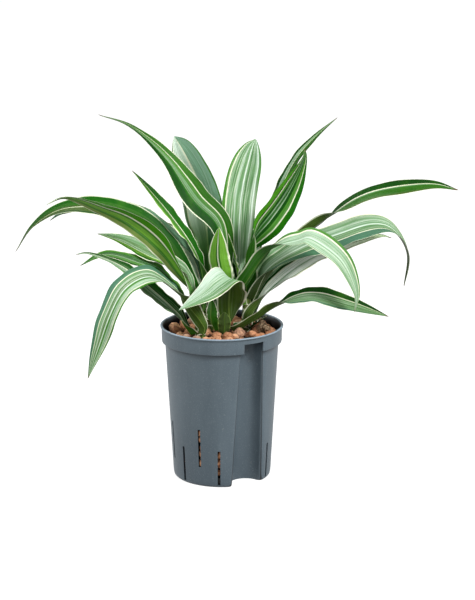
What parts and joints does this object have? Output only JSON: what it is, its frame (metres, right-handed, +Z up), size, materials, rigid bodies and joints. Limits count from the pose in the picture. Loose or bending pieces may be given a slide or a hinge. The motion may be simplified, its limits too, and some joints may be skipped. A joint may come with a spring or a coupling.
{
  "type": "potted dracaena",
  "caption": "Variegated dracaena with arching striped leaves, standing in a round slotted culture pot that is filled with expanded clay granules.",
  "frame": {"origin": "centre of the flat underside of the pot, on the surface it stands on", "axes": "+Z up along the pot's axis, +X to the right and -Y to the front as the plant is looked at; the gauge recess faces front right"},
  "size_m": [0.5314, 0.2973, 0.4414],
  "materials": {
    "slate_plastic": "slate blue-grey moulded plastic, satin",
    "expanded_clay": "matt fired clay pebbles, orange-brown",
    "cane": "green-brown living cane with rings",
    "leaf": "living leaf, satin, green with cream and mint stripes",
    "sheath": "living leaf foot, dark green"
  },
  "bodies": {
    "root": {"pot": "slate_plastic", "clay_granules": "expanded_clay", "stem_left": "cane", "stem_back": "cane", "stem_centre": "cane", "stem_right": "cane", "leaf_long_top_left": "leaf", "leaf_broad_back_left": "leaf", "leaf_broad_centre": "leaf", "leaf_dark_right": "leaf", "leaf_thin_top_right": "leaf", "leaf_long_far_right": "leaf", "leaf_broad_right": "leaf", "leaf_pale_arch_right": "leaf", "leaf_pale_low_right": "leaf", "leaf_low_right": "leaf", "leaf_small_centre": "leaf", "leaf_thin_centre": "leaf", "leaf_folded_front": "leaf", "leaf_long_left": "leaf", "leaf_far_left": "leaf", "leaf_hidden_left": "leaf", "leaf_olive_left": "leaf", "leaf_mid_left": "leaf", "leaf_thin_low_left": "leaf", "leaf_drooping_left": "leaf", "leaf_thin_top_left": "leaf", "leaf_small_left": "leaf", "leaf_rear_tall_left": "leaf", "leaf_rear_tall_right": "leaf", "leaf_rear_low_left": "leaf", "leaf_rear_low_right": "leaf", "leaf_rear_low": "leaf", "leaf_rear_left": "leaf", "leaf_rear_right": "leaf", "sheath_front": "sheath", "sheath_left": "sheath", "sheath_right": "sheath"}
  },
  "joints": []
}
